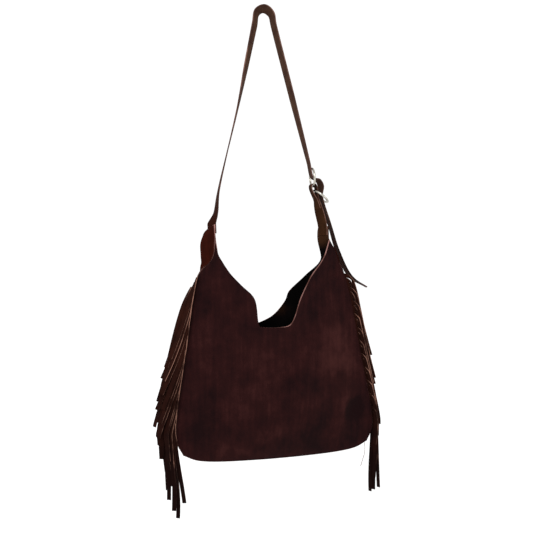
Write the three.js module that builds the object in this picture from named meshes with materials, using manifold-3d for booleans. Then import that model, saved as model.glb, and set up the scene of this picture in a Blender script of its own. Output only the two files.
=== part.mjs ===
// Fringed suede shoulder bag, hanging by its strap.
// Millimetres, +Z up, +X to the bag's right, the front faces -Y.
// The origin is the point under the strap's arch that carries the bag.
// Drops are distances below the origin, and half widths are measured from the body's middle.
import * as THREE from "three";
import { LoftGeometry } from "three/addons/geometries/LoftGeometry.js";
import { mergeVertices } from "three/addons/utils/BufferGeometryUtils.js";
import Module from "manifold-3d";

// Leather, and the gap between pieces that are sewn together or rest on each other
const PANEL_LEATHER = 1.8;
const FRINGE_LEATHER = 1.4;
const STRAP_LEATHER = 2.2;
const TAB_LEATHER = 1.8;
const SEWN_GAP = 0.3;
const SEWN_OVERLAP = 17;

// Body outline, which hangs a little to one side of the origin
const BODY_SHIFT = 18;
const BODY_LEAN = 0.033;
const SEAM_TOP_DROP = 470;
const SEAM_TOP_HALF_WIDTH = 139;
const BODY_HALF_WIDTH = 190;
const BODY_DROP = 812;
const BOTTOM_SAG = 7;
const CORNER_RADIUS = 40;
const SIDE_SWELL = 5;
const BELLY = 8;

// Peaks: the front panel's pointed tips, and the back panel's leaves that wrap round behind them.
// Both leaves are turned the same way, so that their rear edges lie to the left of their front edges.
const PEAK_DROP = 408;
const PEAK_HALF_WIDTH = 109;
const LEAF_DROP = 384;
const LEAF_DEPTH = 18;
const LEAF_TURN = 13;
const LEAF_BULGE = 8;
const LEAF_SHARE = 0.07;

// Mouth: its floor, and the shapes that its edge takes between a peak and the floor, written as shares
// of the peak's half width and of the way down from the peak to the floor
const MOUTH_DROP = 569;
const MOUTH_FORWARD = 28;
const FOLDED_EDGE = [[0.99, 0.2], [0.64, 0.51], [0.42, 0.68], [0.37, 0.95]];
const SLOPED_EDGE = [[0.75, 0.27], [0.4, 0.66], [0.18, 0.97]];
const SLOUCHED_EDGE = [[0.89, 0.24], [0.66, 0.43], [0.37, 0.62], [0.31, 0.72], [0.12, 0.87]];

// Fringe: one cut strip a side, its uncut header sewn into the seam
const FRINGE_TOP_DROP = 472;
const FRINGE_END_DROP = 752;
const FRINGE_STRIPS = 33;
const FRINGE_CUT = 0.7;
const FRINGE_LENGTH = 158;
const HEADER_DEPTH = 10;
const ROOT_REACH = 10;
const STRIP_COLUMNS = 3;
const COLUMN_GAP = 1;
const LAYER_GAP = 0.6;

// Shoulder strap, from the left leaf over the arch and through both rings to its free tail
const STRAP_WIDTH = 20;
const STRAP_TIP_WIDTH = 7;
const STRAP_BOW = 4;
const ARCH_RADIUS = 14;
const STRAP_WRAP = 16;
const TAIL_STANDOFF = 9;
const TAIL_FLARE = 48;
const TAIL_FALL = 29;

// Ring tab, and the two rings in its loop that grip the strap
const RING_OUTER = 38;
const RING_WIRE = 4;
const RING_SPACING = 7.4;
const UPPER_RING_TURN = -4;
const LOWER_RING_TURN = 128;
const TAB_REACH = 76;
const TAB_BASE_WIDTH = 20;
const TAB_LOOP_WIDTH = 14;
const TAB_FOLD_LENGTH = 42;
const LOOP_CLEARANCE = 0.7;

// Loose end of the bottom seam's sewing thread
const THREAD_DIAMETER = 1;
const THREAD_FALL = [
  [0, 0],
  [1, -10],
  [0, -21],
  [-4, -33],
  [-8, -45],
];

const wasm = await Module();
wasm.setup();

const { clamp, degToRad, lerp, radToDeg, smoothstep } = THREE.MathUtils;
const point = (x = 0, y = 0, z = 0) => new THREE.Vector3(x, y, z);
const smoothCurve = (points) => new THREE.CatmullRomCurve3(points, false, "centripetal");
const steps = (count) => Array.from({ length: count + 1 }, (_, i) => i / count);

// Puts a point of the symmetrical body where the limp body hangs.
function hang({ x, y, z }) {
  return point(x + BODY_SHIFT - BODY_LEAN * (z + SEAM_TOP_DROP), y, z);
}

function middleOf(points) {
  return points.reduce((sum, p) => sum.add(p), point()).divideScalar(points.length);
}

// A closed loft through the sections. A section that runs clockwise about the way the loft goes is
// turned round, so that the faces look out.
function loft(sections) {
  const [start, next] = [middleOf(sections[0]), middleOf(sections[1])];
  const arms = sections[0].map((p) => p.clone().sub(start));
  const swept = (arm, i) => arm.clone().cross(arms[(i + 1) % arms.length]);
  const axis = arms.map(swept).reduce((sum, part) => sum.add(part));
  const counterclockwise = axis.dot(next.sub(start)) > 0;
  const ordered = counterclockwise ? sections : sections.map((section) => [...section].reverse());
  return new LoftGeometry(ordered, { capStart: true, capEnd: true });
}

// Four corners of a strip's section, from its width and thickness along two directions.
function sectionCorners(centre, across, width, through, thickness) {
  const corner = ([w, h]) =>
    centre
      .clone()
      .addScaledVector(across, (w * width) / 2)
      .addScaledVector(through, (h * thickness) / 2);
  return [[-1, -1], [1, -1], [1, 1], [-1, 1]].map(corner);
}

// A flat strip along a route in the XZ plane. Its width lies along Y, and rolls about the route.
function strip(route, count, width, thickness, roll) {
  const section = (t) => {
    const along = route.getTangent(t);
    const inward = point(along.z, 0, -along.x);
    const across = point(0, Math.cos(roll(t)), 0).addScaledVector(inward, Math.sin(roll(t)));
    const through = along.clone().cross(across);
    return sectionCorners(route.getPoint(t), across, width(t), through, thickness);
  };
  return loft(steps(count).map(section));
}

// A leather sheet on a surface, thickened outwards. Each value of u gives a thin ring of points, up
// the inside and down the outside; the rings are joined, and the two end rings are filled.
function sheet(surface, us, vs, thickness) {
  const nudge = 1e-4;
  const outward = (u, v) => {
    const across = surface(Math.min(u + nudge, 1), v).sub(surface(Math.max(u - nudge, 0), v));
    const along = surface(u, Math.min(v + nudge, 1)).sub(surface(u, Math.max(v - nudge, 0)));
    return across.cross(along).normalize();
  };
  const ring = (u) => {
    const inner = vs.map((v) => surface(u, v));
    const outer = vs.map((v, i) => inner[i].clone().addScaledVector(outward(u, v), thickness));
    return [...inner, ...outer.reverse()];
  };
  const around = 2 * vs.length;
  const last = (us.length - 1) * around;
  const faces = [];
  const addQuad = (a, b, c, d) => faces.push(a, b, c, a, c, d);
  for (let start = 0; start < last; start += around) {
    for (let i = 0; i < around; i += 1) {
      const next = (i + 1) % around;
      addQuad(start + i, start + next, start + around + next, start + around + i);
    }
  }
  for (let i = 0; i < vs.length - 1; i += 1) {
    const across = around - 1 - i;
    addQuad(i, across, across - 1, i + 1);
    addQuad(last + i, last + i + 1, last + across - 1, last + across);
  }
  return new THREE.BufferGeometry().setFromPoints(us.flatMap(ring)).setIndex(faces);
}

// A surface spanned between four edges that meet at their ends.
function spanned(bottom, top, left, right) {
  const [leftFoot, rightFoot, leftHead, rightHead] = [bottom(0), bottom(1), top(0), top(1)];
  return (u, v) =>
    point()
      .addScaledVector(bottom(u), 1 - v)
      .addScaledVector(top(u), v)
      .addScaledVector(left(v), 1 - u)
      .addScaledVector(right(v), u)
      .addScaledVector(leftFoot, -(1 - u) * (1 - v))
      .addScaledVector(rightFoot, -u * (1 - v))
      .addScaledVector(leftHead, -(1 - u) * v)
      .addScaledVector(rightHead, -u * v);
}

// Joins closed geometries into one solid.
function union(geometries) {
  const solid = (geometry) => {
    const bare = new THREE.BufferGeometry().setIndex(geometry.index);
    bare.setAttribute("position", geometry.getAttribute("position"));
    const merged = mergeVertices(bare, 1e-3);
    const triVerts = new Uint32Array(merged.index.array);
    const vertProperties = merged.getAttribute("position").array;
    return new wasm.Manifold(new wasm.Mesh({ numProp: 3, vertProperties, triVerts }));
  };
  const joined = geometries.map(solid).reduce((sum, next) => sum.add(next));
  const { vertProperties, triVerts } = joined.getMesh();
  return new THREE.BufferGeometry()
    .setAttribute("position", new THREE.BufferAttribute(vertProperties, 3))
    .setIndex(new THREE.BufferAttribute(triVerts, 1));
}

// The body's right side seam, from the rounded bottom corner up to the front panel's tip.
const cornerInset = CORNER_RADIUS * (1 - Math.SQRT1_2);
const floorDrop = BODY_DROP - BOTTOM_SAG;
const sideFootDrop = floorDrop - CORNER_RADIUS;
const bottomCorner = point(BODY_HALF_WIDTH - cornerInset, 0, cornerInset - floorDrop);
const seamTop = point(SEAM_TOP_HALF_WIDTH, 0, -SEAM_TOP_DROP);
const peakTip = point(PEAK_HALF_WIDTH, 0, -PEAK_DROP);
const leafTop = point(PEAK_HALF_WIDTH, 0, -LEAF_DROP);
const seamPoints = [
  bottomCorner,
  point(BODY_HALF_WIDTH, 0, -sideFootDrop),
  point(
    (SEAM_TOP_HALF_WIDTH + BODY_HALF_WIDTH) / 2 + SIDE_SWELL,
    0,
    -(SEAM_TOP_DROP + sideFootDrop) / 2,
  ),
  seamTop,
  point(lerp(PEAK_HALF_WIDTH, SEAM_TOP_HALF_WIDTH, 0.45), 0, -lerp(PEAK_DROP, SEAM_TOP_DROP, 0.65)),
  peakTip,
];
const seamLine = smoothCurve(seamPoints);

// Share of the seam's length that carries the fringe; the rest is the neck of the peak.
const seamLengths = seamLine.getLengths();
const fringedSpans = seamPoints.indexOf(seamTop) / (seamPoints.length - 1);
const fringedLength = seamLengths[Math.round(fringedSpans * (seamLengths.length - 1))];
const fringedShare = fringedLength / seamLine.getLength();

// Along the neck the seam comes forward, until the leaf lies across the bag's side.
function seamForward(z) {
  return (LEAF_DEPTH / 2) * smoothstep(z, -SEAM_TOP_DROP, -PEAK_DROP);
}

// How far the leaves' rear edges are turned to the left at a height.
function leafTurn(z) {
  return LEAF_TURN * smoothstep(z, -SEAM_TOP_DROP, -(PEAK_DROP + SEAM_TOP_DROP) / 2);
}

// How far the leaves bulge at a height, between the fringe and what is sewn to their flat tops.
function leafBulge(z) {
  const flatDrop = LEAF_DROP + SEWN_OVERLAP;
  const up = clamp((z + SEAM_TOP_DROP) / (SEAM_TOP_DROP - flatDrop), 0, 1);
  return LEAF_BULGE * Math.sin(Math.PI * up);
}

// Half width of the body along its fringed seam at a height; below the corner the side is plumb.
function seamHalfWidth(z) {
  if (z < -sideFootDrop) return BODY_HALF_WIDTH;
  let [low, high] = [0, 1];
  for (let i = 0; i < 30; i += 1) {
    const middle = (low + high) / 2;
    if (seamLine.getPoint(middle).z < z) low = middle;
    else high = middle;
  }
  return seamLine.getPoint(low).x;
}

// Half the gap between the panels at a height: along the fringe its header lies in between.
function seamHalfGap(z) {
  const belowTop = smoothstep(-z, FRINGE_TOP_DROP - CORNER_RADIUS, FRINGE_TOP_DROP);
  const aboveEnd = 1 - smoothstep(-z, FRINGE_END_DROP, floorDrop);
  return SEWN_GAP + (FRINGE_LEATHER / 2) * belowTop * aboveEnd;
}

// Bottom edge of a panel between its two rounded corners.
const bottomHalf = [
  bottomCorner,
  point(BODY_HALF_WIDTH - CORNER_RADIUS, 0, -floorDrop),
];
const mirrored = ({ x, y, z }) => point(-x, y, z);
const bottomLine = smoothCurve([
  ...bottomHalf.map(mirrored),
  point(0, 0, -BODY_DROP),
  ...[...bottomHalf].reverse(),
]);

// The mouth edge on one side of a panel, from just inside the peak down to the floor.
function mouthSide(shape, side) {
  const place = ([wide, deep]) =>
    point(side * wide * PEAK_HALF_WIDTH, 0, -lerp(PEAK_DROP, MOUTH_DROP, deep));
  return shape.map(place);
}

// How far a panel's middle stands out from the seams, from its bottom edge to its mouth.
function standOut(v) {
  return MOUTH_FORWARD * (1 - (1 - v) ** 3) + BELLY * 6.75 * v * (1 - v) ** 2;
}

// One panel in its own frame, with its outside facing -Y. The back panel is turned round, and on each
// side its leaf bulges from the seam round the bag's side to its own mouth edge.
function panel(isBack, leftShape, rightShape) {
  const turn = isBack ? -1 : 1;
  const leafShare = isBack ? LEAF_SHARE : 0;
  const side = new THREE.CurvePath();
  side.add(seamLine);
  if (isBack) side.add(new THREE.LineCurve3(peakTip, leafTop));
  const head = isBack ? leafTop : peakTip;
  const mouth = smoothCurve([
    mirrored(head),
    ...mouthSide(leftShape, -1),
    point(0, 0, -MOUTH_DROP),
    ...mouthSide(rightShape, 1).reverse(),
    head,
  ]);
  const outline = spanned(
    (u) => bottomLine.getPointAt(u),
    (u) => mouth.getPointAt(clamp((u - leafShare) / (1 - 2 * leafShare), 0, 1)),
    (v) => mirrored(side.getPointAt(v)),
    (v) => side.getPointAt(v),
  );

  const surface = (u, v) => {
    const { x, z } = outline(u, v);
    const sideZ = side.getPointAt(v).z;
    const leaf = leafShare * smoothstep(sideZ, -SEAM_TOP_DROP, -PEAK_DROP);
    const across = Math.sin(Math.PI * clamp((u - leaf) / (1 - 2 * leaf), 0, 1));
    const inLeaf = isBack ? Math.min(u, 1 - u) / LEAF_SHARE : 0;
    const round = clamp(inLeaf, 0, 1);
    const forward = seamForward(sideZ);
    const edge = isBack ? forward * (2 * round - 1) : forward * (1 - across);
    const bulge = leafBulge(sideZ) * Math.sin(Math.PI * round) ** 2 * Math.sign(u - 0.5);
    const turned = leafTurn(sideZ) * round * (1 - smoothstep(inLeaf, 1, 3));
    const y = -seamHalfGap(z) - edge - across * standOut(v);
    return hang(point(turn * (x + bulge) - turned, turn * y, z));
  };
  const inner = steps(26).map((t) => lerp(leafShare, 1 - leafShare, t));
  const leaf = steps(4).slice(0, -1).map((t) => t * leafShare);
  const us = isBack ? [...leaf, ...inner, ...leaf.map((u) => 1 - u).reverse()] : inner;
  const fringedRows = steps(10).map((t) => t * fringedShare);
  const neckRows = steps(4).slice(1).map((t) => lerp(fringedShare, 1, t));
  const seamShare = seamLine.getLength() / side.getLength();
  const seamRows = [...fringedRows, ...neckRows].map((v) => v * seamShare);
  const vs = isBack ? [...seamRows, (1 + seamShare) / 2, 1] : seamRows;
  return sheet(surface, us, vs, PANEL_LEATHER);
}

// One side's fringe. Each strip leaves the seam on edge, turns flat, bends over and hangs along the
// seam; the strips fall into columns, and in a column each one lies outside those that start lower.
function fringe(side) {
  const pitch = (FRINGE_END_DROP - FRINGE_TOP_DROP) / FRINGE_STRIPS;
  const stripWidth = pitch - FRINGE_CUT;
  const creep = (FRINGE_LEATHER + LAYER_GAP) / (STRIP_COLUMNS * pitch);
  const placed = (x, y, z) => hang(point(side * x, y, z));

  const headerSection = (t) => {
    const z = -lerp(FRINGE_TOP_DROP, FRINGE_END_DROP, t);
    const centre = placed(seamHalfWidth(z) - HEADER_DEPTH / 2, 0, z);
    return sectionCorners(centre, point(1, 0, 0), HEADER_DEPTH, point(0, 1, 0), FRINGE_LEATHER);
  };
  const header = loft(steps(STRIP_COLUMNS * 5).map(headerSection));

  const cutStrip = (index) => {
    const rootZ = -(FRINGE_TOP_DROP + (index + 0.5) * pitch);
    const rootX = seamHalfWidth(rootZ);
    const column = (index % STRIP_COLUMNS) - (STRIP_COLUMNS - 1) / 2;
    const columnY = column * (stripWidth + COLUMN_GAP);
    const section = (x, y, z, twist, bend) => {
      const [turned, bent] = [degToRad(twist), degToRad(bend)];
      const rise = point(side * Math.sin(bent), 0, Math.cos(bent));
      const across = rise.clone().multiplyScalar(Math.cos(turned));
      across.addScaledVector(point(0, 1, 0), Math.sin(turned));
      const through = rise.clone().multiplyScalar(-Math.sin(turned));
      through.addScaledVector(point(0, 1, 0), Math.cos(turned));
      return sectionCorners(placed(x, y, z), across, stripWidth, through, FRINGE_LEATHER);
    };
    const hanging = (t) => {
      const z = rootZ - lerp(1.4 * ROOT_REACH, FRINGE_LENGTH, t);
      const overlapped = rootZ - Math.max(z, -FRINGE_END_DROP);
      return section(seamHalfWidth(z) + ROOT_REACH + creep * overlapped, columnY, z, 90, 90);
    };
    return loft([
      section(rootX - HEADER_DEPTH / 4, 0, rootZ, 0, 0),
      section(rootX + PANEL_LEATHER, 0, rootZ, 0, 0),
      section(rootX + 0.4 * ROOT_REACH, 0.3 * columnY, rootZ, 45, 0),
      section(rootX + 0.7 * ROOT_REACH, 0.7 * columnY, rootZ - 0.15 * ROOT_REACH, 90, 25),
      section(rootX + ROOT_REACH, columnY, rootZ - 0.55 * ROOT_REACH, 90, 65),
      ...steps(4).map(hanging),
    ]);
  };
  return union([header, ...Array.from({ length: FRINGE_STRIPS }, (_, i) => cutStrip(i))]);
}

// Middle of a leather that is sewn to the inside of a leaf, at a depth below the leaf's top.
const leafAngle = Math.atan2(LEAF_TURN, LEAF_DEPTH);
function sewnInLeaf(side, depth, leather) {
  const leaf = hang(point(side * PEAK_HALF_WIDTH - LEAF_TURN / 2, 0, -LEAF_DROP - depth));
  const inwards = (3 * SEWN_GAP + leather / 2) / Math.cos(leafAngle);
  return leaf.add(point(-side * inwards, 0, 0));
}

// Both rings hang in the tab's loop, below the arch's right run, and turn about the loop.
const ringRadius = (RING_OUTER - RING_WIRE) / 2;
const tabFoot = sewnInLeaf(1, 0, TAB_LEATHER);
const archRight = point(ARCH_RADIUS, 0, 0);
const tabLine = archRight.clone().sub(tabFoot).normalize();
const upperPivot = tabFoot.clone().addScaledVector(tabLine, TAB_REACH);
const lowerPivot = upperPivot.clone().addScaledVector(tabLine, -RING_SPACING);

// A point at a distance from a pivot, at an angle clockwise from upright as seen from the front.
function polar(pivot, distance, degrees) {
  const angle = degToRad(degrees);
  return pivot.clone().add(point(distance * Math.sin(angle), 0, distance * Math.cos(angle)));
}

function ring(name, pivot, turn) {
  const mesh = new THREE.Mesh(new THREE.TorusGeometry(ringRadius, RING_WIRE / 2, 8, 28), metal());
  mesh.name = name;
  mesh.rotation.y = Math.PI / 2;
  mesh.position.z = ringRadius;
  const hinge = new THREE.Group();
  hinge.position.copy(pivot);
  hinge.rotation.y = degToRad(turn);
  hinge.add(mesh);
  return hinge;
}

// The tab runs up from the right leaf, folds over both rings and is sewn down on itself.
function ringTab() {
  const wireSag = ringRadius - Math.sqrt(ringRadius ** 2 - (TAB_LOOP_WIDTH / 2) ** 2);
  const loopRadius = RING_WIRE / 2 + wireSag + LOOP_CLEARANCE + TAB_LEATHER / 2;
  const layerHalf = (TAB_LEATHER + SEWN_GAP) / 2;
  const leftward = point(-tabLine.z, 0, tabLine.x);
  const at = (reach, left) =>
    upperPivot.clone().addScaledVector(tabLine, reach).addScaledVector(leftward, left);
  const diagonal = loopRadius * Math.SQRT1_2;
  const throat = -RING_SPACING - 3.5 * loopRadius;
  const outerLayer = [at(throat, -layerHalf), at(-RING_SPACING, -loopRadius), at(0, -loopRadius)];
  const innerLayer = [at(0, loopRadius), at(-RING_SPACING, loopRadius), at(throat, layerHalf)];
  const route = smoothCurve([
    sewnInLeaf(1, SEWN_OVERLAP, TAB_LEATHER),
    tabFoot,
    ...outerLayer,
    at(diagonal, -diagonal),
    at(loopRadius, 0),
    at(diagonal, diagonal),
    ...innerLayer,
    at(-TAB_FOLD_LENGTH, layerHalf),
  ]);
  const narrowAt = 0.2;
  const width = (t) => lerp(TAB_BASE_WIDTH, TAB_LOOP_WIDTH, smoothstep(t, 0, narrowAt));
  const roll = (t) => {
    const turned = leafAngle * smoothstep(-route.getPoint(t).z, -lowerPivot.z, LEAF_DROP);
    return -turned * Math.sign(route.getTangent(t).z);
  };
  return strip(route, 44, width, TAB_LEATHER, roll);
}

// The strap's way points, each with its roll about the strap in degrees.
function shoulderStrap() {
  const sewnRoll = -radToDeg(leafAngle);
  const upperRing = polar(upperPivot, ringRadius, UPPER_RING_TURN);
  const lowerRing = polar(lowerPivot, ringRadius, LOWER_RING_TURN);
  const archLeft = point(-ARCH_RADIUS, 0, 0);
  const archTop = (degrees) => polar(point(0, 0, 0), ARCH_RADIUS, degrees);
  const leftRun = (share) => {
    const bow = STRAP_BOW * smoothstep(share, 0, 0.15) * (1 - smoothstep(share, 0.15, 0.55));
    return hang(mirrored(leafTop)).lerp(archLeft, share).add(point(-bow, 0, 0));
  };
  const besideLeaf = PEAK_HALF_WIDTH + LEAF_BULGE + TAIL_STANDOFF;
  const leafMiddle = -(LEAF_DROP + SEAM_TOP_DROP) / 2;
  const tailTip = hang(seamTop).add(point(TAIL_FLARE, 0, -TAIL_FALL));
  const way = [
    [sewnInLeaf(-1, SEWN_OVERLAP, STRAP_LEATHER), sewnRoll],
    [sewnInLeaf(-1, SEWN_OVERLAP / 4, STRAP_LEATHER), sewnRoll],
    [sewnInLeaf(-1, 0, STRAP_LEATHER), sewnRoll],
    [leftRun(0.05), -8],
    [leftRun(0.15), 6],
    [leftRun(0.55), 18],
    [leftRun(0.95), 36],
    [archTop(-75), 40],
    [archTop(0), 40],
    [archTop(75), 16],
    [archRight.clone().lerp(upperRing, 0.06), 10],
    [archRight.clone().lerp(upperRing, 0.5), 8],
    [archRight.clone().lerp(upperRing, 0.9), 0],
    [upperRing, 0],
    [polar(upperPivot, STRAP_WRAP, 40), 0],
    [polar(upperPivot, STRAP_WRAP, 85), 0],
    [lowerRing, 0],
    [hang(leafTop).add(point(TAIL_STANDOFF, 0, 0)), 0],
    [hang(point(besideLeaf, 0, leafMiddle)), 0],
    [hang(seamTop).lerp(tailTip, 0.3), 0],
    [tailTip, 0],
  ];
  const route = smoothCurve(way.map(([place]) => place));
  const roll = (t) => {
    const at = clamp(t * (way.length - 1), 0, way.length - 1 - 1e-9);
    const from = Math.floor(at);
    return degToRad(lerp(way[from][1], way[from + 1][1], at - from));
  };
  const tapered = 1 - 1 / (way.length - 1);
  const width = (t) => lerp(STRAP_WIDTH, STRAP_TIP_WIDTH, smoothstep(t, tapered, 1));
  return strip(route, 4 * (way.length - 1), width, STRAP_LEATHER, roll);
}

function looseThread() {
  const start = hang(bottomLine.getPointAt(0.985));
  const below = SEWN_GAP + THREAD_DIAMETER / 2;
  const route = smoothCurve(THREAD_FALL.map(([x, z]) => start.clone().add(point(x, 0, z - below))));
  const round = new THREE.Shape().absarc(0, 0, THREAD_DIAMETER / 2, 0, 2 * Math.PI);
  const options = { extrudePath: route, steps: 18, curveSegments: 4, bevelEnabled: false };
  return new THREE.ExtrudeGeometry(round, options);
}

function material(color, roughness, metalness) {
  return new THREE.MeshStandardMaterial({ color, roughness, metalness });
}
const suede = (color) => material(color, 0.95, 0);
const strapLeather = () => material("#4a382e", 0.7, 0);
const metal = () => material("#c9c6bd", 0.25, 1);

function part(name, geometry, surface) {
  const mesh = new THREE.Mesh(geometry, surface);
  mesh.name = name;
  return mesh;
}

const bag = new THREE.Group();
bag.add(
  part("front_panel", panel(false, FOLDED_EDGE, SLOPED_EDGE), suede("#2a1413")),
  part("back_panel", panel(true, SLOUCHED_EDGE, FOLDED_EDGE), suede("#2e1412")),
  part("left_fringe", fringe(-1), suede("#351914")),
  part("right_fringe", fringe(1), suede("#351914")),
  part("shoulder_strap", shoulderStrap(), strapLeather()),
  part("ring_tab", ringTab(), strapLeather()),
  ring("upper_ring", upperPivot, UPPER_RING_TURN),
  ring("lower_ring", lowerPivot, LOWER_RING_TURN),
  part("loose_thread", looseThread(), suede("#2a1413")),
);

export default bag;
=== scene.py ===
"""Fringed suede shoulder bag, dressed for a plain studio picture.

The soft pieces are drawn again from the outlines of their solids, finer and limper than those, in the
same frame: metres, +Z up, +X to the bag's right, the front facing -Y. Shapes are worked out in
millimetres and turned into metres when a mesh is made.
"""

import logging
import math
from collections.abc import Callable, Sequence
from dataclasses import dataclass, field
from enum import Enum

import bpy
import numpy as np
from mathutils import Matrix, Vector


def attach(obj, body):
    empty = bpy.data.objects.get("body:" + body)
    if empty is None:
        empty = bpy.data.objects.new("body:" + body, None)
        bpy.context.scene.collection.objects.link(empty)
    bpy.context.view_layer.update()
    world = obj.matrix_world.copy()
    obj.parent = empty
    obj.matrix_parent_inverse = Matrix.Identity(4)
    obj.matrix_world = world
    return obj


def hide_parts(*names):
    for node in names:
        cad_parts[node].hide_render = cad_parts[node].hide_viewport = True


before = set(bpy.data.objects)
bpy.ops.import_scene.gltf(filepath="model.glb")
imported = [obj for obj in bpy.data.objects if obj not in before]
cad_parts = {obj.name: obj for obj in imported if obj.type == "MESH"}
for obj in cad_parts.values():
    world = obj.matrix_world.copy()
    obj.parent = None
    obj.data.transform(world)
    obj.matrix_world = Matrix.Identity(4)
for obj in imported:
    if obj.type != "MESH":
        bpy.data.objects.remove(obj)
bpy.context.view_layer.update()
LOG = logging.getLogger("fringed_bag")

MM = 0.001
Array = np.ndarray
# A strip's path, and its directions across and through.
Strip = tuple[Array, Array, Array]

# Vectors shorter than this are not scaled up to a length of 1.
SHORTEST_VECTOR = 1e-9
# Faces that meet at more than this many degrees keep a sharp edge.
SHARP_ANGLE = 42.0
# Faces of a strip beyond this share of its half width are its cut edge.
EDGE_SHARE = 0.9

# The neck sways between these drops, in millimetres; above and below them it hangs as the solids do.
SWAY_TOP = 402.0
SWAY_FOOT = 482.0


class Side(Enum):
    """The bag's two sides, as the sign of X."""

    LEFT = -1
    RIGHT = 1


class Face(Enum):
    """Faces of a cut leather, as slots of its mesh."""

    OUTSIDE = 0
    INSIDE = 1
    CUT_EDGE = 2


# Shapes


def smooth_step(value: Array | float, low: float, high: float) -> Array:
    """Eases a value from 0 at low to 1 at high."""
    share = np.clip((np.asarray(value, float) - low) / (high - low), 0.0, 1.0)
    return share * share * (3.0 - 2.0 * share)


def mirrored(points: Array) -> Array:
    """Swaps the bag's left and right."""
    return points * np.array([-1.0, 1.0, 1.0])


def unit(vectors: Array) -> Array:
    """Scales each vector to a length of 1."""
    return vectors / np.maximum(np.linalg.norm(vectors, axis=-1, keepdims=True), SHORTEST_VECTOR)


def polar(pivot: Array, distance: float, degrees: float) -> Array:
    """Finds a point at a distance from a pivot, at an angle clockwise from upright.

    Args:
        pivot: The point to start from, in millimetres.
        distance: How far to go.
        degrees: The angle, as seen from the front.

    Returns:
        The point, in the pivot's XZ plane.
    """
    angle = math.radians(degrees)
    return pivot + distance * np.array([math.sin(angle), 0.0, math.cos(angle)])


class SmoothCurve:
    """A smooth curve through points, eased so that it doesn't overshoot between close points."""

    MEASURED_STEPS = 60
    SHORTEST_GAP = 1e-6
    JOINED_GAP = 1e-4
    NUDGE = 1e-4

    def __init__(self, points: Sequence[Array]) -> None:
        """Keeps the points, with one more beyond each end, and measures the curve.

        Args:
            points: The points that the curve passes, in millimetres.
        """
        through = np.asarray(points, float)
        first = 2.0 * through[0] - through[1]
        last = 2.0 * through[-1] - through[-2]
        self.spans = len(through) - 1
        self.padded = np.vstack([first, through, last])
        self.shares = np.linspace(0.0, 1.0, self.MEASURED_STEPS * self.spans + 1)
        steps = np.linalg.norm(np.diff(self.at(self.shares), axis=0), axis=1)
        self.travelled = np.concatenate([[0.0], np.cumsum(steps)])

    @property
    def length(self) -> float:
        """Length of the curve in millimetres."""
        return float(self.travelled[-1])

    def at(self, share: Array | float) -> Array:
        """Finds points by their share of the way points.

        Args:
            share: Shares from 0 to 1, the same number for each span between two way points.

        Returns:
            One point for each share.
        """
        way = np.clip(np.atleast_1d(np.asarray(share, float)), 0.0, 1.0) * self.spans
        span = np.minimum(way.astype(int), self.spans - 1)
        part = (way - span)[:, None]
        before, start, end, after = (self.padded[span + i] for i in range(4))
        pairs = ((before, start), (start, end), (end, after))
        gap = [np.sqrt(np.linalg.norm(b - a, axis=1))[:, None] for a, b in pairs]
        middle = np.maximum(gap[1], self.SHORTEST_GAP)
        early = np.where(gap[0] < self.JOINED_GAP, middle, gap[0])
        late = np.where(gap[2] < self.JOINED_GAP, middle, gap[2])
        leave = (start - before) / early - (end - before) / (early + middle) + (end - start) / middle
        arrive = (end - start) / middle - (after - start) / (middle + late) + (after - end) / late
        leave, arrive = leave * middle, arrive * middle
        square = -3.0 * start + 3.0 * end - 2.0 * leave - arrive
        cube = 2.0 * start - 2.0 * end + leave + arrive
        return start + part * (leave + part * (square + part * cube))

    def along(self, share: Array | float) -> Array:
        """Finds points by their share of the curve's length."""
        return self.at(np.interp(np.asarray(share, float) * self.length, self.travelled, self.shares))

    def tangent(self, share: Array | float) -> Array:
        """Finds the directions in which the curve runs."""
        share = np.atleast_1d(np.asarray(share, float))
        return unit(self.at(share + self.NUDGE) - self.at(share - self.NUDGE))


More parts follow.
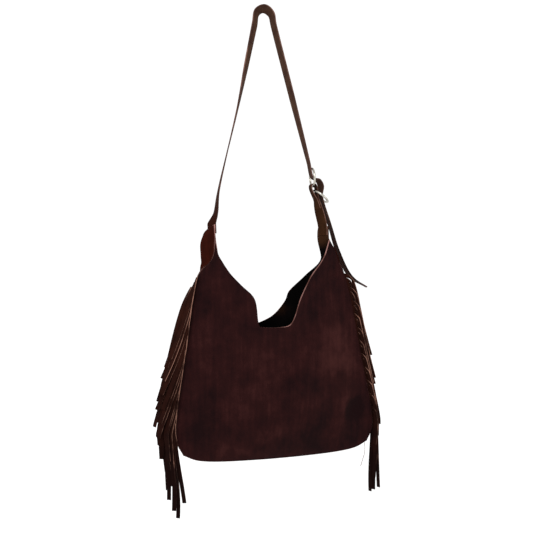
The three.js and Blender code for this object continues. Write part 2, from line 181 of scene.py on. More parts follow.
@dataclass
class BodyShape:
    """The body's outline and how its two panels hang, in millimetres."""

    shift: float = 18.0
    lean: float = 0.033
    sway: float = 7.0
    seam_top_drop: float = 470.0
    seam_top_half_width: float = 139.0
    half_width: float = 190.0
    drop: float = 812.0
    sag: float = 7.0
    corner: float = 40.0
    side_swell: float = 5.0
    belly: float = 8.0
    peak_drop: float = 408.0
    peak_half_width: float = 109.0
    leaf_drop: float = 384.0
    leaf_depth: float = 18.0
    leaf_turn: float = 13.0
    leaf_bulge: float = 8.0
    left_leaf_bulge: float = 19.0
    right_leaf_bulge: float = 11.0
    left_leaf_slant: float = 10.0
    leaf_share: float = 0.07
    sewn_overlap: float = 17.0
    sewn_gap: float = 0.3
    mouth_drop: float = 569.0
    mouth_forward: float = 28.0
    fringe_top_drop: float = 472.0
    fringe_end_drop: float = 752.0
    fringe_leather: float = 1.4
    neck_out: float = 0.45
    neck_down: float = 0.65
    # Brings up * (1 - up) ** 2 to 1 at its fullest.
    belly_fullness: float = 6.75
    # Leaf widths from the seam at which the leaf's turn has died away.
    leaf_fade: float = 3.0
    sewn_gaps: float = 3.0
    seam_samples: int = 400
    seam: SmoothCurve = field(init=False)
    bottom: SmoothCurve = field(init=False)

    def __post_init__(self) -> None:
        """Lays out the side seam and the bottom edge."""
        floor = self.drop - self.sag
        inset = self.corner * (1.0 - math.sqrt(0.5))
        self.foot_drop = floor - self.corner
        self.bottom_corner = np.array([self.half_width - inset, 0.0, inset - floor])
        self.seam_top = np.array([self.seam_top_half_width, 0.0, -self.seam_top_drop])
        self.leaf_top = np.array([self.peak_half_width, 0.0, -self.leaf_drop])
        widest = (self.seam_top_half_width + self.half_width) / 2.0 + self.side_swell
        neck_x = self.peak_half_width + self.neck_out * (self.seam_top_half_width - self.peak_half_width)
        neck_z = -(self.peak_drop + self.neck_down * (self.seam_top_drop - self.peak_drop))
        self.seam = SmoothCurve(
            [
                self.bottom_corner,
                np.array([self.half_width, 0.0, -self.foot_drop]),
                np.array([widest, 0.0, -(self.seam_top_drop + self.foot_drop) / 2.0]),
                self.seam_top,
                np.array([neck_x, 0.0, neck_z]),
                np.array([self.peak_half_width, 0.0, -self.peak_drop]),
            ]
        )
        near_corner = np.array([self.half_width - self.corner, 0.0, -floor])
        self.bottom = SmoothCurve(
            [
                mirrored(self.bottom_corner),
                mirrored(near_corner),
                np.array([0.0, 0.0, -self.drop]),
                near_corner,
                self.bottom_corner,
            ]
        )
        line = self.seam.at(np.linspace(0.0, 1.0, self.seam_samples))
        line = line[line[:, 2] >= -self.foot_drop]
        self.seam_heights, self.seam_widths = line[:, 2], line[:, 0]
        self.leaf_angle = math.atan2(self.leaf_turn, self.leaf_depth)

    def hang(self, points: Array) -> Array:
        """Puts points of the symmetrical body where the limp one hangs, its neck swayed to the right."""
        moved = np.array(points, float)
        neck = np.clip((-moved[..., 2] - SWAY_TOP) / (SWAY_FOOT - SWAY_TOP), 0.0, 1.0)
        moved[..., 0] += self.shift - self.lean * (moved[..., 2] + self.seam_top_drop)
        moved[..., 0] += self.sway * np.sin(np.pi * neck) ** 2
        return moved

    def seam_half_width(self, height: Array | float) -> Array:
        """Half width of the body along its fringed seam; below the corner the side is plumb."""
        return np.interp(height, self.seam_heights, self.seam_widths)

    def seam_half_gap(self, height: Array) -> Array:
        """Half the gap between the panels, which holds the fringe's header."""
        below = smooth_step(-height, self.fringe_top_drop - self.corner, self.fringe_top_drop)
        above = 1.0 - smooth_step(-height, self.fringe_end_drop, self.drop - self.sag)
        return self.sewn_gap + self.fringe_leather / 2.0 * below * above

    def stand_out(self, up: Array) -> Array:
        """How far a panel's middle stands out, from its bottom edge to its mouth."""
        full = self.belly * self.belly_fullness * up * (1.0 - up) ** 2
        return self.mouth_forward * (1.0 - (1.0 - up) ** 3) + full

    def sewn_in_leaf(self, side: Side, depth: float, leather: float) -> Array:
        """Finds the middle of a leather that is sewn to the inside of a leaf.

        Args:
            side: The leaf's side of the bag.
            depth: How far below the leaf's top.
            leather: Thickness of the sewn leather.

        Returns:
            The point, in millimetres.
        """
        leaf = [side.value * self.peak_half_width - self.leaf_turn / 2.0, 0.0, -self.leaf_drop - depth]
        inwards = (self.sewn_gaps * self.sewn_gap + leather / 2.0) / math.cos(self.leaf_angle)
        return self.hang(np.array(leaf)) - np.array([side.value * inwards, 0.0, 0.0])

    def mouth_side(self, edge: Sequence[tuple[float, float]], side: Side) -> list[Array]:
        """Lays out the mouth edge from a peak down to the mouth's floor."""
        fall = self.mouth_drop - self.peak_drop
        return [
            np.array([side.value * wide * self.peak_half_width, 0.0, -self.peak_drop - deep * fall])
            for wide, deep in edge
        ]

    def side_line(self, up: Array, has_leaf: bool) -> Array:
        """Finds points up the side seam, and on up the leaf's front edge where there is one.

        Args:
            up: Shares of the way from the bottom corner to the top.
            has_leaf: Whether the line goes on above the front panel's tip.

        Returns:
            One point for each share.
        """
        leaf = self.peak_drop - self.leaf_drop if has_leaf else 0.0
        travelled = np.asarray(up, float) * (self.seam.length + leaf)
        line = self.seam.along(np.minimum(travelled / self.seam.length, 1.0))
        line[:, 2] += np.maximum(travelled - self.seam.length, 0.0)
        return line

    def panel(self, us: Array, vs: Array, is_back: bool, mouth: SmoothCurve) -> Array:
        """Spans a panel between its bottom, its sides and its mouth, and lets it stand out.

        Args:
            us: Shares across the panel in its own frame, its outside facing the viewer.
            vs: Shares up the panel.
            is_back: Whether it is the back panel, which is turned round and has the leaves.
            mouth: Its mouth edge.

        Returns:
            A grid of points on the panel's inside, in millimetres.
        """
        share = self.leaf_share if is_back else 0.0
        turn = -1.0 if is_back else 1.0
        bottom = self.bottom.along(us)[:, None, :]
        top = mouth.along(np.clip((us - share) / (1.0 - 2.0 * share), 0.0, 1.0))[:, None, :]
        right = self.side_line(vs, is_back)[None, :, :]
        left = mirrored(right)
        u, v = us[:, None, None], vs[None, :, None]
        low = (1 - u) * (1 - v) * bottom[0, 0] + u * (1 - v) * bottom[-1, 0]
        corners = low + (1 - u) * v * top[0, 0] + u * v * top[-1, 0]
        outline = (1 - v) * bottom + v * top + (1 - u) * left + u * right - corners
        x, z = outline[..., 0], outline[..., 2]
        u, v, side_z = u[..., 0], v[..., 0], right[..., 2]
        neck = smooth_step(side_z, -self.seam_top_drop, -self.peak_drop)
        leaf = share * neck
        across = np.sin(np.pi * np.clip((u - leaf) / (1.0 - 2.0 * leaf), 0.0, 1.0))
        forward = self.leaf_depth / 2.0 * neck
        if is_back:
            in_leaf = np.minimum(u, 1.0 - u) / self.leaf_share
            wrapped = np.clip(in_leaf, 0.0, 1.0)
            flat_drop = self.leaf_drop + self.sewn_overlap
            on_left = u > 0.5
            swell = np.where(on_left, self.left_leaf_bulge, -self.right_leaf_bulge)
            bulge_top = np.where(on_left, self.leaf_drop, flat_drop)
            up = np.clip((side_z + self.seam_top_drop) / (self.seam_top_drop - bulge_top), 0.0, 1.0)
            bulge = swell * np.sin(np.pi * up) * np.sin(np.pi * wrapped) ** 2
            faded = 1.0 - smooth_step(in_leaf, 1.0, self.leaf_fade)
            slant = np.where(on_left, self.left_leaf_slant, 0.0) * faded
            z = z - slant * wrapped * smooth_step(side_z, -flat_drop, -self.leaf_drop)
            full_turn = -(self.peak_drop + self.seam_top_drop) / 2.0
            turned = self.leaf_turn * smooth_step(side_z, -self.seam_top_drop, full_turn)
            turned = turned * wrapped * faded
            edge = forward * (2.0 * wrapped - 1.0)
        else:
            bulge, turned, edge = 0.0, 0.0, forward * (1.0 - across)
        y = -self.seam_half_gap(z) - edge - across * self.stand_out(v)
        return self.hang(np.stack([turn * (x + bulge) - turned, turn * y, z], axis=-1))


# Finishes


def linear(hex_colour: str) -> tuple[float, float, float, float]:
    """Turns an sRGB hex colour into the linear colour that a shader takes."""
    channels = [int(hex_colour[i : i + 2], 16) / 255.0 for i in (1, 3, 5)]
    red, green, blue = (c / 12.92 if c <= 0.04045 else ((c + 0.055) / 1.055) ** 2.4 for c in channels)
    return (red, green, blue, 1.0)


def add_node(
    tree: bpy.types.NodeTree,
    kind: str,
    inputs: dict[str | int, object] | None = None,
    settings: dict[str, object] | None = None,
) -> bpy.types.Node:
    """Adds a node with its settings, constants and links.

    Args:
        tree: The node tree.
        kind: The node's type name.
        inputs: For each input, a constant or the socket to link from.
        settings: The node's own properties.

    Returns:
        The node.
    """
    made = tree.nodes.new(kind)
    for name, value in (settings or {}).items():
        setattr(made, name, value)
    for name, value in (inputs or {}).items():
        if isinstance(value, bpy.types.NodeSocket):
            tree.links.new(value, made.inputs[name])
        else:
            made.inputs[name].default_value = value
    return made


def set_ramp(ramp: bpy.types.Node, stops: Sequence[tuple[float, str]]) -> bpy.types.NodeSocket:
    """Fills a colour ramp.

    Args:
        ramp: The ramp's node.
        stops: Places along the ramp, each with its hex colour.

    Returns:
        The ramp's colour socket.
    """
    elements = ramp.color_ramp.elements
    while len(elements) < len(stops):
        elements.new(1.0)
    for element, (place, colour) in zip(elements, stops, strict=True):
        element.position = place
        element.color = linear(colour)
    return ramp.outputs["Color"]


def texture_scale(size_mm: float) -> float:
    """Scale at which a texture's features have a size in millimetres."""
    return 1.0 / (size_mm * MM)


@dataclass(frozen=True)
class Finish:
    """A surface that is built from shader nodes."""

    name: str

    def shader(self, tree: bpy.types.NodeTree) -> bpy.types.Node:
        """Adds the finish's own nodes and returns its shader."""
        raise NotImplementedError

    def material(self) -> bpy.types.Material:
        """Builds the material.

        Returns:
            The material, with the finish's shader as its surface.
        """
        made = bpy.data.materials.new(self.name)
        made.use_nodes = True
        made.node_tree.nodes.clear()
        shader = self.shader(made.node_tree)
        add_node(made.node_tree, "ShaderNodeOutputMaterial", {"Surface": shader.outputs[0]})
        return made


@dataclass(frozen=True)
class BrushedSuede(Finish):
    """Suede whose nap was raised by buffing the flesh side and brushed by hand as the bag was used.

    The eye sees a dull, dark ground with soft cloudy patches where the nap lies differently, faint
    streaks down the fall of the leather, and a pale bloom where the fibres are seen edge on.
    """

    deep: str
    ground: str
    rub_and_painted_shading: str
    bloom: float = 0.05
    cloud_share: float = 0.5
    streak_share: float = 0.2
    nap_share: float = 0.22
    cloud_mm: float = 48.0
    streak_mm: float = 7.0
    streak_run: float = 0.09
    # Real nap fibres are about 0.3 mm; they are drawn coarser, so that the picture can show them.
    nap_mm: float = 1.1
    nap_height_mm: float = 0.35
    bloom_tint: str = "#a07a70"

    def shader(self, tree: bpy.types.NodeTree) -> bpy.types.Node:
        """Adds the nodes of the suede.

        Args:
            tree: The material's node tree.

        Returns:
            The shader, which takes the rubbing of its nap and its painted light and shade from the mesh.
        """
        place = add_node(tree, "ShaderNodeTexCoord").outputs["Object"]
        cloud = add_node(
            tree,
            "ShaderNodeTexNoise",
            {"Vector": place, "Scale": texture_scale(self.cloud_mm), "Detail": 4.0, "Roughness": 0.62},
        )
        stretch = (1.0, 1.0, self.streak_run)
        fall = add_node(tree, "ShaderNodeMapping", {"Vector": place, "Scale": stretch})
        streak = add_node(
            tree,
            "ShaderNodeTexNoise",
            {"Vector": fall.outputs[0], "Scale": texture_scale(self.streak_mm), "Detail": 3.0},
        )
        nap = add_node(
            tree,
            "ShaderNodeTexNoise",
            {"Vector": place, "Scale": texture_scale(self.nap_mm), "Detail": 3.0, "Roughness": 0.7},
        )
        rub_and_painted_shading = add_node(tree, "ShaderNodeAttribute", settings={"attribute_name": "rub_and_painted_shading"})
        mottle = rub_and_painted_shading.outputs["Fac"]
        shares = ((cloud, self.cloud_share), (streak, self.streak_share), (nap, self.nap_share))
        for noise, share in shares:
            inputs = {0: noise.outputs[0], 1: share, 2: mottle}
            mottle = add_node(tree, "ShaderNodeMath", inputs, {"operation": "MULTIPLY_ADD"}).outputs[0]
        colour = add_node(tree, "ShaderNodeValToRGB", {"Fac": mottle})
        stops = [(0.36, self.deep), (0.51, self.ground), (0.8, self.rub_and_painted_shading)]
        bump = add_node(
            tree,
            "ShaderNodeBump",
            {"Height": nap.outputs[0], "Strength": 0.6, "Distance": self.nap_height_mm * MM},
        )
        return add_node(
            tree,
            "ShaderNodeBsdfPrincipled",
            {
                "Base Color": set_ramp(colour, stops),
                "Roughness": 0.95,
                "Specular IOR Level": 0.04,
                "Sheen Weight": self.bloom,
                "Sheen Roughness": 0.45,
                "Sheen Tint": linear(self.bloom_tint),
                "Normal": bump.outputs[0],
            },
        )


@dataclass(frozen=True)
class CutEdge(Finish):
    """The raw edge that a knife leaves in leather: paler than the faces, matt and a little fibrous."""

    pale: str
    dark: str
    # The darkest stop, which the painted shade over the strap's tail reaches.
    deepest: str = "#150a07"
    fibre_mm: float = 1.3
    fibre_share: float = 0.4
    fibre_height_mm: float = 0.3
    wander_mm: float = 25.0

    def shader(self, tree: bpy.types.NodeTree) -> bpy.types.Node:
        """Adds the nodes of the edge.

        Args:
            tree: The material's node tree.

        Returns:
            The shader, darkest where the mesh darkens it, as under the painted shade over the strap's
            tail.
        """
        place = add_node(tree, "ShaderNodeTexCoord").outputs["Object"]
        fibre, wander = (
            add_node(
                tree,
                "ShaderNodeTexNoise",
                {"Vector": place, "Scale": texture_scale(size_mm), "Detail": detail},
            )
            for size_mm, detail in ((self.fibre_mm, 2.0), (self.wander_mm, 3.0))
        )
        both = add_node(
            tree,
            "ShaderNodeMath",
            {0: fibre.outputs[0], 1: self.fibre_share, 2: wander.outputs[0]},
            {"operation": "MULTIPLY_ADD"},
        )
        rub_and_painted_shading = add_node(tree, "ShaderNodeAttribute", settings={"attribute_name": "rub_and_painted_shading"})
        shade = add_node(tree, "ShaderNodeMath", {0: both.outputs[0], 1: rub_and_painted_shading.outputs["Fac"]})
        colour = add_node(tree, "ShaderNodeValToRGB", {"Fac": shade.outputs[0]})
        stops = [(0.2, self.deepest), (0.6, self.dark), (0.85, self.pale)]
        bump = add_node(
            tree,
            "ShaderNodeBump",
            {"Height": fibre.outputs[0], "Strength": 0.5, "Distance": self.fibre_height_mm * MM},
        )
        return add_node(
            tree,
            "ShaderNodeBsdfPrincipled",
            {
                "Base Color": set_ramp(colour, stops),
                "Roughness": 0.9,
                "Specular IOR Level": 0.1,
                "Normal": bump.outputs[0],
            },
        )


@dataclass(frozen=True)
class StrapLeather(Finish):
    """Smooth, dyed strap leather, worn dull by hands.

    The eye sees an even brown with a fine pebbled grain, a soft broad shine along the bends and a
    slightly greyer bloom where the finish has worn.
    """

    dark: str
    ground: str
    worn: str
    # Real grain cells are about 0.5 mm; they are drawn coarser, so that the picture can show them.
    grain_mm: float = 1.0
    grain_height_mm: float = 0.2
    wear_mm: float = 22.0

    def shader(self, tree: bpy.types.NodeTree) -> bpy.types.Node:
        """Adds the nodes of the leather.

        Args:
            tree: The material's node tree.

        Returns:
            The shader, which takes its darker places from the mesh.
        """
        place = add_node(tree, "ShaderNodeTexCoord").outputs["Object"]
        grain = add_node(
            tree, "ShaderNodeTexVoronoi", {"Vector": place, "Scale": texture_scale(self.grain_mm)}
        )
        wear = add_node(
            tree,
            "ShaderNodeTexNoise",
            {"Vector": place, "Scale": texture_scale(self.wear_mm), "Detail": 5.0, "Roughness": 0.65},
        )
        rub_and_painted_shading = add_node(tree, "ShaderNodeAttribute", settings={"attribute_name": "rub_and_painted_shading"})
        shade = add_node(tree, "ShaderNodeMath", {0: wear.outputs[0], 1: rub_and_painted_shading.outputs["Fac"]})
        colour = add_node(tree, "ShaderNodeValToRGB", {"Fac": shade.outputs[0]})
        stops = [(0.1, self.dark), (0.4, self.ground), (0.7, self.worn)]
        gloss = add_node(
            tree,
            "ShaderNodeMapRange",
            {"Value": wear.outputs[0], "From Min": 0.3, "From Max": 0.7, "To Min": 0.6, "To Max": 0.8},
        )
        bump = add_node(
            tree,
            "ShaderNodeBump",
            {
                "Height": grain.outputs["Distance"],
                "Strength": 0.35,
                "Distance": self.grain_height_mm * MM,
            },
        )
        return add_node(
            tree,
            "ShaderNodeBsdfPrincipled",
            {
                "Base Color": set_ramp(colour, stops),
                "Roughness": gloss.outputs[0],
                "Specular IOR Level": 0.02,
                "Normal": bump.outputs[0],
            },
        )


@dataclass(frozen=True)
class PolishedNickel(Finish):
    """Nickel plate over bent wire, polished bright: pale and mirror-like, with faint handling marks."""

    plate: str
    scuff_mm: float = 5.0

    def shader(self, tree: bpy.types.NodeTree) -> bpy.types.Node:
        """Adds the nodes of the plate.

        Args:
            tree: The material's node tree.

        Returns:
            The shader, a little duller where it is scuffed.
        """
        place = add_node(tree, "ShaderNodeTexCoord").outputs["Object"]
        scuff = add_node(
            tree,
            "ShaderNodeTexNoise",
            {"Vector": place, "Scale": texture_scale(self.scuff_mm), "Detail": 4.0},
        )
        gloss = add_node(
            tree,
            "ShaderNodeMapRange",
            {"Value": scuff.outputs[0], "From Min": 0.35, "From Max": 0.7, "To Min": 0.1, "To Max": 0.24},
        )
        return add_node(
            tree,
            "ShaderNodeBsdfPrincipled",
            {"Base Color": linear(self.plate), "Metallic": 1.0, "Roughness": gloss.outputs[0]},
        )


@dataclass(frozen=True)
class SpunThread(Finish):
    """Dark sewing thread, spun and waxed: matt, with the slant of its twist as lighter bands."""

    ground: str
    light: str
    # Size of the wave texture, whose bands lie closer than this.
    wave_mm: float = 9.0

    def shader(self, tree: bpy.types.NodeTree) -> bpy.types.Node:
        """Adds the nodes of the thread.

        Args:
            tree: The material's node tree.

        Returns:
            The shader.
        """
        place = add_node(tree, "ShaderNodeTexCoord").outputs["Object"]
        twist = add_node(
            tree,
            "ShaderNodeTexWave",
            {"Vector": place, "Scale": texture_scale(self.wave_mm), "Distortion": 1.0},
            {"bands_direction": "DIAGONAL"},
        )
        colour = add_node(tree, "ShaderNodeValToRGB", {"Fac": twist.outputs["Fac"]})
        return add_node(
            tree,
            "ShaderNodeBsdfPrincipled",
            {"Base Color": set_ramp(colour, [(0.2, self.ground), (0.8, self.light)]), "Roughness": 0.8},
        )


@dataclass(frozen=True)
class PaintedFloor(Finish):
    """A studio floor painted matt white, so that it falls away behind the bag without a line."""

    paint: str

    def shader(self, tree: bpy.types.NodeTree) -> bpy.types.Node:
        """Adds the paint's one node."""
        return add_node(
            tree,
            "ShaderNodeBsdfPrincipled",
            {"Base Color": linear(self.paint), "Roughness": 1.0, "Specular IOR Level": 0.0},
        )


BODY_SUEDE = BrushedSuede("brushed_body_suede", "#120607", "#1f0b0b", "#3a1d1b")
LEAF_SUEDE = BrushedSuede("brushed_leaf_suede", "#1c0603", "#2c0b05", "#3e150a")
# Its near-black ground is painted shade on the inside of the bag; its lightest stop is the flesh side's
# own brown.
INSIDE_SUEDE_PAINTED_SHADE = BrushedSuede(
    "inside_suede_in_painted_shade",
    "#020101",
    "#060303",
    "#2a180d",
    bloom=0.0,
    cloud_share=0.3,
    streak_share=0.1,
    nap_share=0.1,
)
FRINGE_SUEDE = BrushedSuede("brushed_fringe_suede", "#0f0403", "#1c0a06", "#2e130c")
PANEL_EDGE = CutEdge("knife_cut_panel_edge", "#84605a", "#4a2e28")
FRINGE_EDGE = CutEdge("knife_cut_fringe_edge", "#775548", "#22100b")
STRAP_EDGE = CutEdge("knife_cut_strap_edge", "#6b4d43", "#3c261f")
STRAP_FACE = StrapLeather("dyed_strap_leather", "#240d07", "#33211a", "#473226")
TAB_FACE = StrapLeather("dyed_tab_leather", "#150a05", "#241309", "#311c0f")
RING_PLATE = PolishedNickel("polished_nickel_plate", "#aaa69d")
SEAM_THREAD = SpunThread("spun_seam_thread", "#4a3836", "#7a6a68")
FLOOR_PAINT = PaintedFloor("matt_white_floor_paint", "#ffffff")


# Meshes


def make_object(
    name: str,
    vertices: Array,
    faces: Sequence[Sequence[int]],
    materials: Sequence[bpy.types.Material],
    slots: Sequence[int] | None = None,
    rub_and_painted_shading: Array | None = None,
) -> bpy.types.Object:
    """Makes a smooth mesh object from points in millimetres.

    Args:
        name: The piece's name.
        vertices: Points in millimetres.
        faces: Corner numbers of each face.
        materials: The piece's materials.
        slots: The material of each face, the first one if left out.
        rub_and_painted_shading: The rubbing of the nap and the painted light and shade at each point.

    Returns:
        The object, in the scene.
    """
    mesh = bpy.data.meshes.new(name)
    mesh.from_pydata((np.asarray(vertices) * MM).tolist(), [], [list(face) for face in faces])
    for material in materials:
        mesh.materials.append(material)
    mesh.polygons.foreach_set("use_smooth", [True] * len(mesh.polygons))
    if slots is not None:
        mesh.polygons.foreach_set("material_index", list(slots))
    values = np.zeros(len(vertices)) if rub_and_painted_shading is None else rub_and_painted_shading
    # The attribute holds how far the nap is rubbed, together with the painted light and shade.
    mesh.attributes.new("rub_and_painted_shading", "FLOAT", "POINT").data.foreach_set("value", values.astype(np.float32))
    mesh.set_sharp_from_angle(angle=math.radians(SHARP_ANGLE))
    mesh.update()
    made = bpy.data.objects.new(name, mesh)
    bpy.context.scene.collection.objects.link(made)
    return made


@dataclass
class Mesh:
    """Points and faces of a piece while it is built up from cut leathers."""

    points: list[Array] = field(default_factory=list)
    faces: list[tuple[int, ...]] = field(default_factory=list)
    slots: list[int] = field(default_factory=list)
    count: int = 0

    def add(self, points: Array) -> int:
        """Adds points and returns the number of the first."""
        first = self.count
        self.points.append(points.reshape(-1, 3))
        self.count += len(self.points[-1])
        return first

    def face(self, corners: tuple[int, ...], kind: Face) -> None:
        """Adds one face."""
        self.faces.append(corners)
        self.slots.append(kind.value)

    def add_sheet(self, inner: Array, outer: Array) -> None:
        """Adds a closed leather between two grids of points.

        Args:
            inner: Grid on the leather's inside.
            outer: Grid on its outside.
        """
        rows, columns = inner.shape[:2]
        first, second = self.add(inner), self.add(outer)
        number = np.arange(rows * columns).reshape(rows, columns)
        corners = np.stack([number[:-1, :-1], number[1:, :-1], number[1:, 1:], number[:-1, 1:]], axis=-1)
        for quad in corners.reshape(-1, 4):
            self.face(tuple(quad + second), Face.OUTSIDE)
            self.face(tuple(quad[::-1] + first), Face.INSIDE)
        rim = np.concatenate([number[:-1, 0], number[-1, :-1], number[:0:-1, -1], number[0, :0:-1]])
        for here, there in zip(rim, np.roll(rim, -1), strict=True):
            self.face((here + first, there + first, there + second, here + second), Face.CUT_EDGE)

    def add_ribbon(
        self, path: Array, across: Array, through: Array, profile: Sequence[tuple[float, float, float]]
    ) -> None:
        """Adds a closed strip of leather along a path.

        Args:
            path: The strip's middle.
            across: Directions across it, each as long as half the width.
            through: Directions through it, each as long as half the thickness.
            profile: Places from edge to edge as shares of across, each with its outer and inner height
                as shares of through.
        """
        columns = len(profile)
        face_up = [path + w * across + top * through for w, top, _ in profile]
        face_down = [path + w * across + low * through for w, _, low in reversed(profile)]
        first = self.add(np.stack(face_up + face_down, axis=1))
        around = 2 * columns
        around_profile = [*profile, *reversed(profile)]
        rows = len(path)
        for row in range(rows - 1):
            start = first + row * around
            for i in range(around):
                nxt = (i + 1) % around
                kind = Face.INSIDE if i >= columns else Face.OUTSIDE
                if min(abs(around_profile[i][0]), abs(around_profile[nxt][0])) > EDGE_SHARE:
                    kind = Face.CUT_EDGE
                self.face((start + i, start + nxt, start + around + nxt, start + around + i), kind)
        last = first + (rows - 1) * around
        for i in range(columns - 1):
            other = around - 1 - i
            self.face((first + i, first + other, first + other - 1, first + i + 1), Face.CUT_EDGE)
            self.face((last + i, last + i + 1, last + other - 1, last + other), Face.CUT_EDGE)

    def finish(
        self,
        name: str,
        finishes: Sequence[bpy.types.Material],
        rubbing_and_painted_shading: Callable[[Array], Array] | None = None,
    ) -> bpy.types.Object:
        """Makes the piece's object.

        Args:
            name: The piece's name.
            finishes: Materials of the outside, the inside and the cut edges.
            rubbing_and_painted_shading: Gives the rubbing and the painted light and shade at each point.

        Returns:
            The object.
        """
        points = np.concatenate(self.points)
        rub_and_painted_shading = rubbing_and_painted_shading(points) if rubbing_and_painted_shading else None
        return make_object(name, points, self.faces, finishes, self.slots, rub_and_painted_shading)


def grid_normals(grid: Array) -> Array:
    """Finds the outward directions of a grid of points."""
    across = np.gradient(grid, axis=0)
    along = np.gradient(grid, axis=1)
    return unit(np.cross(across, along))


@dataclass(frozen=True)
class Patch:
    """A soft oval place on a piece, in millimetres."""

    x: float
    z: float
    wide: float
    tall: float
    amount: float
    tilt: float = 0.0

    def at(self, x: Array, z: Array) -> Array:
        """Gives the patch's strength at points.

        Args:
            x: Distances to the right.
            z: Heights.

        Returns:
            The amount in the patch's middle, fading to nothing around it.
        """
        turn = math.radians(self.tilt)
        dx, dz = x - self.x, z - self.z
        wide = (dx * math.cos(turn) + dz * math.sin(turn)) / self.wide
        tall = (dz * math.cos(turn) - dx * math.sin(turn)) / self.tall
        return self.amount * np.exp(-(wide**2) - tall**2)


# Pieces


@dataclass
class Panel:
    """One suede panel of the body."""

    node: str
    is_back: bool
    left_edge: Sequence[tuple[float, float]]
    right_edge: Sequence[tuple[float, float]]
    flat: tuple[float, float]
    folds: Sequence[Patch]
    rubs_and_painted_shading: Sequence[Patch]
    leather: float = 1.8
    columns: int = 170
    rows: int = 130
    wave: float = 1.1
    skive: float = 1.5
    middle: float = 1.0
    # Limp waves, in millimetres for each radian, with their slant, start and share.
    ripple: float = 17.0
    ripple_slant: float = 0.012
    swell: float = 41.0
    swell_start: float = 1.3
    cross_share: float = 0.6
    cross: float = 29.0
    cross_fall: float = 55.0
    # Shares of the panel over which its sides and its foot hold the waves flat.
    held_side: float = 0.07
    held_foot: float = 0.12
    # Shares across the mouth between which its edge goes from rolled to cut.
    cut_edge: tuple[float, float] = (0.5, 0.6)

    def own_x(self, shape: BodyShape, points: Array) -> Array:
        """Distances from the body's middle before it was hung, but for the neck's sway."""
        return points[..., 0] - shape.shift + shape.lean * (points[..., 2] + shape.seam_top_drop)

    def limpness(self, shape: BodyShape, grid: Array, us: Array, vs: Array) -> Array:
        """Finds how far limp folds push the panel out.

        Args:
            shape: The body.
            grid: The panel's points.
            us: Shares across.
            vs: Shares up.

        Returns:
            Millimetres, none at the seams.
        """
        x, z = self.own_x(shape, grid), grid[..., 2]
        ripples = np.sin(x / self.ripple + self.ripple_slant * z)
        swells = np.sin(x / self.swell + self.swell_start)
        drape = ripples * swells + self.cross_share * np.sin(x / self.cross - z / self.cross_fall)
        slack = sum(patch.at(x, z) for patch in self.folds)
        held_sides = smooth_step(np.minimum(us, 1.0 - us), 0.0, self.held_side)[:, None]
        held = held_sides * smooth_step(vs, 0.0, self.held_foot)[None, :]
        return held * (self.wave * drape + slack)

    def skived(self, inner: Array, outer: Array, us: Array) -> Array:
        """Slants the knife cut round the panel, so that it shows from the outside.

        Args:
            inner: Grid on the inside.
            outer: Grid on the outside.
            us: Shares across.

        Returns:
            The outside, drawn in at its edges; the left half of the mouth is rolled and keeps its edge.
        """
        cut = outer.copy()
        cut[0] += self.skive * unit(inner[2] - inner[0])
        cut[-1] += self.skive * unit(inner[-3] - inner[-1])
        cut[:, 0] += self.skive * unit(inner[:, 2] - inner[:, 0])
        open_edge = self.skive * smooth_step(us, *self.cut_edge)[:, None]
        cut[:, -1] += open_edge * unit(inner[:, -3] - inner[:, -1])
        return cut

    def build(self, shape: BodyShape) -> bpy.types.Object:
        """Builds the panel.

        Args:
            shape: The body.

        Returns:
            The panel's object.
        """
        top = shape.leaf_top
        if not self.is_back:
            top = top - [0.0, 0.0, shape.peak_drop - shape.leaf_drop]
        mouth = SmoothCurve(
            [
                mirrored(top),
                *shape.mouth_side(self.left_edge, Side.LEFT),
                *shape.mouth_side([(0.0, self.middle)], Side.RIGHT),
                *reversed(shape.mouth_side(self.right_edge, Side.RIGHT)),
                top,
            ]
        )
        us, vs = np.linspace(0.0, 1.0, self.columns), np.linspace(0.0, 1.0, self.rows)
        inner = shape.panel(us, vs, self.is_back, mouth)
        normals = grid_normals(inner)
        inner = inner + normals * self.limpness(shape, inner, us, vs)[..., None]
        outer = self.skived(inner, inner + normals * self.leather, us)
        mesh = Mesh()
        mesh.add_sheet(inner, outer)

        def rubbing_and_painted_shading(points: Array) -> Array:
            """Adds up the rubbing and the painted light and shade."""
            x = self.own_x(shape, points)
            return sum(patch.at(x, points[:, 2]) for patch in self.rubs_and_painted_shading)

        outside = LEAF_SUEDE if self.is_back else BODY_SUEDE
        finishes = [outside.material(), INSIDE_SUEDE_PAINTED_SHADE.material(), PANEL_EDGE.material()]
        made = mesh.finish(f"{self.node}_suede", finishes, rubbing_and_painted_shading)
        steps = np.cross(np.diff(inner, axis=0)[:, :-1], np.diff(inner, axis=1)[:-1])
        self.area = float(np.linalg.norm(steps, axis=-1).sum()) * MM * MM
        return made

    def dress(self, made: bpy.types.Object) -> None:
        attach(made, "bag")
        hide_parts(self.node)


def cupped_profile(cup: float) -> list[tuple[float, float, float]]:
    """Profile of a strip whose middle is raised by a share of half its thickness."""
    return [(-1.0, 1.0, -1.0), (0.0, 1.0 + cup, cup - 1.0), (1.0, 1.0, -1.0)]


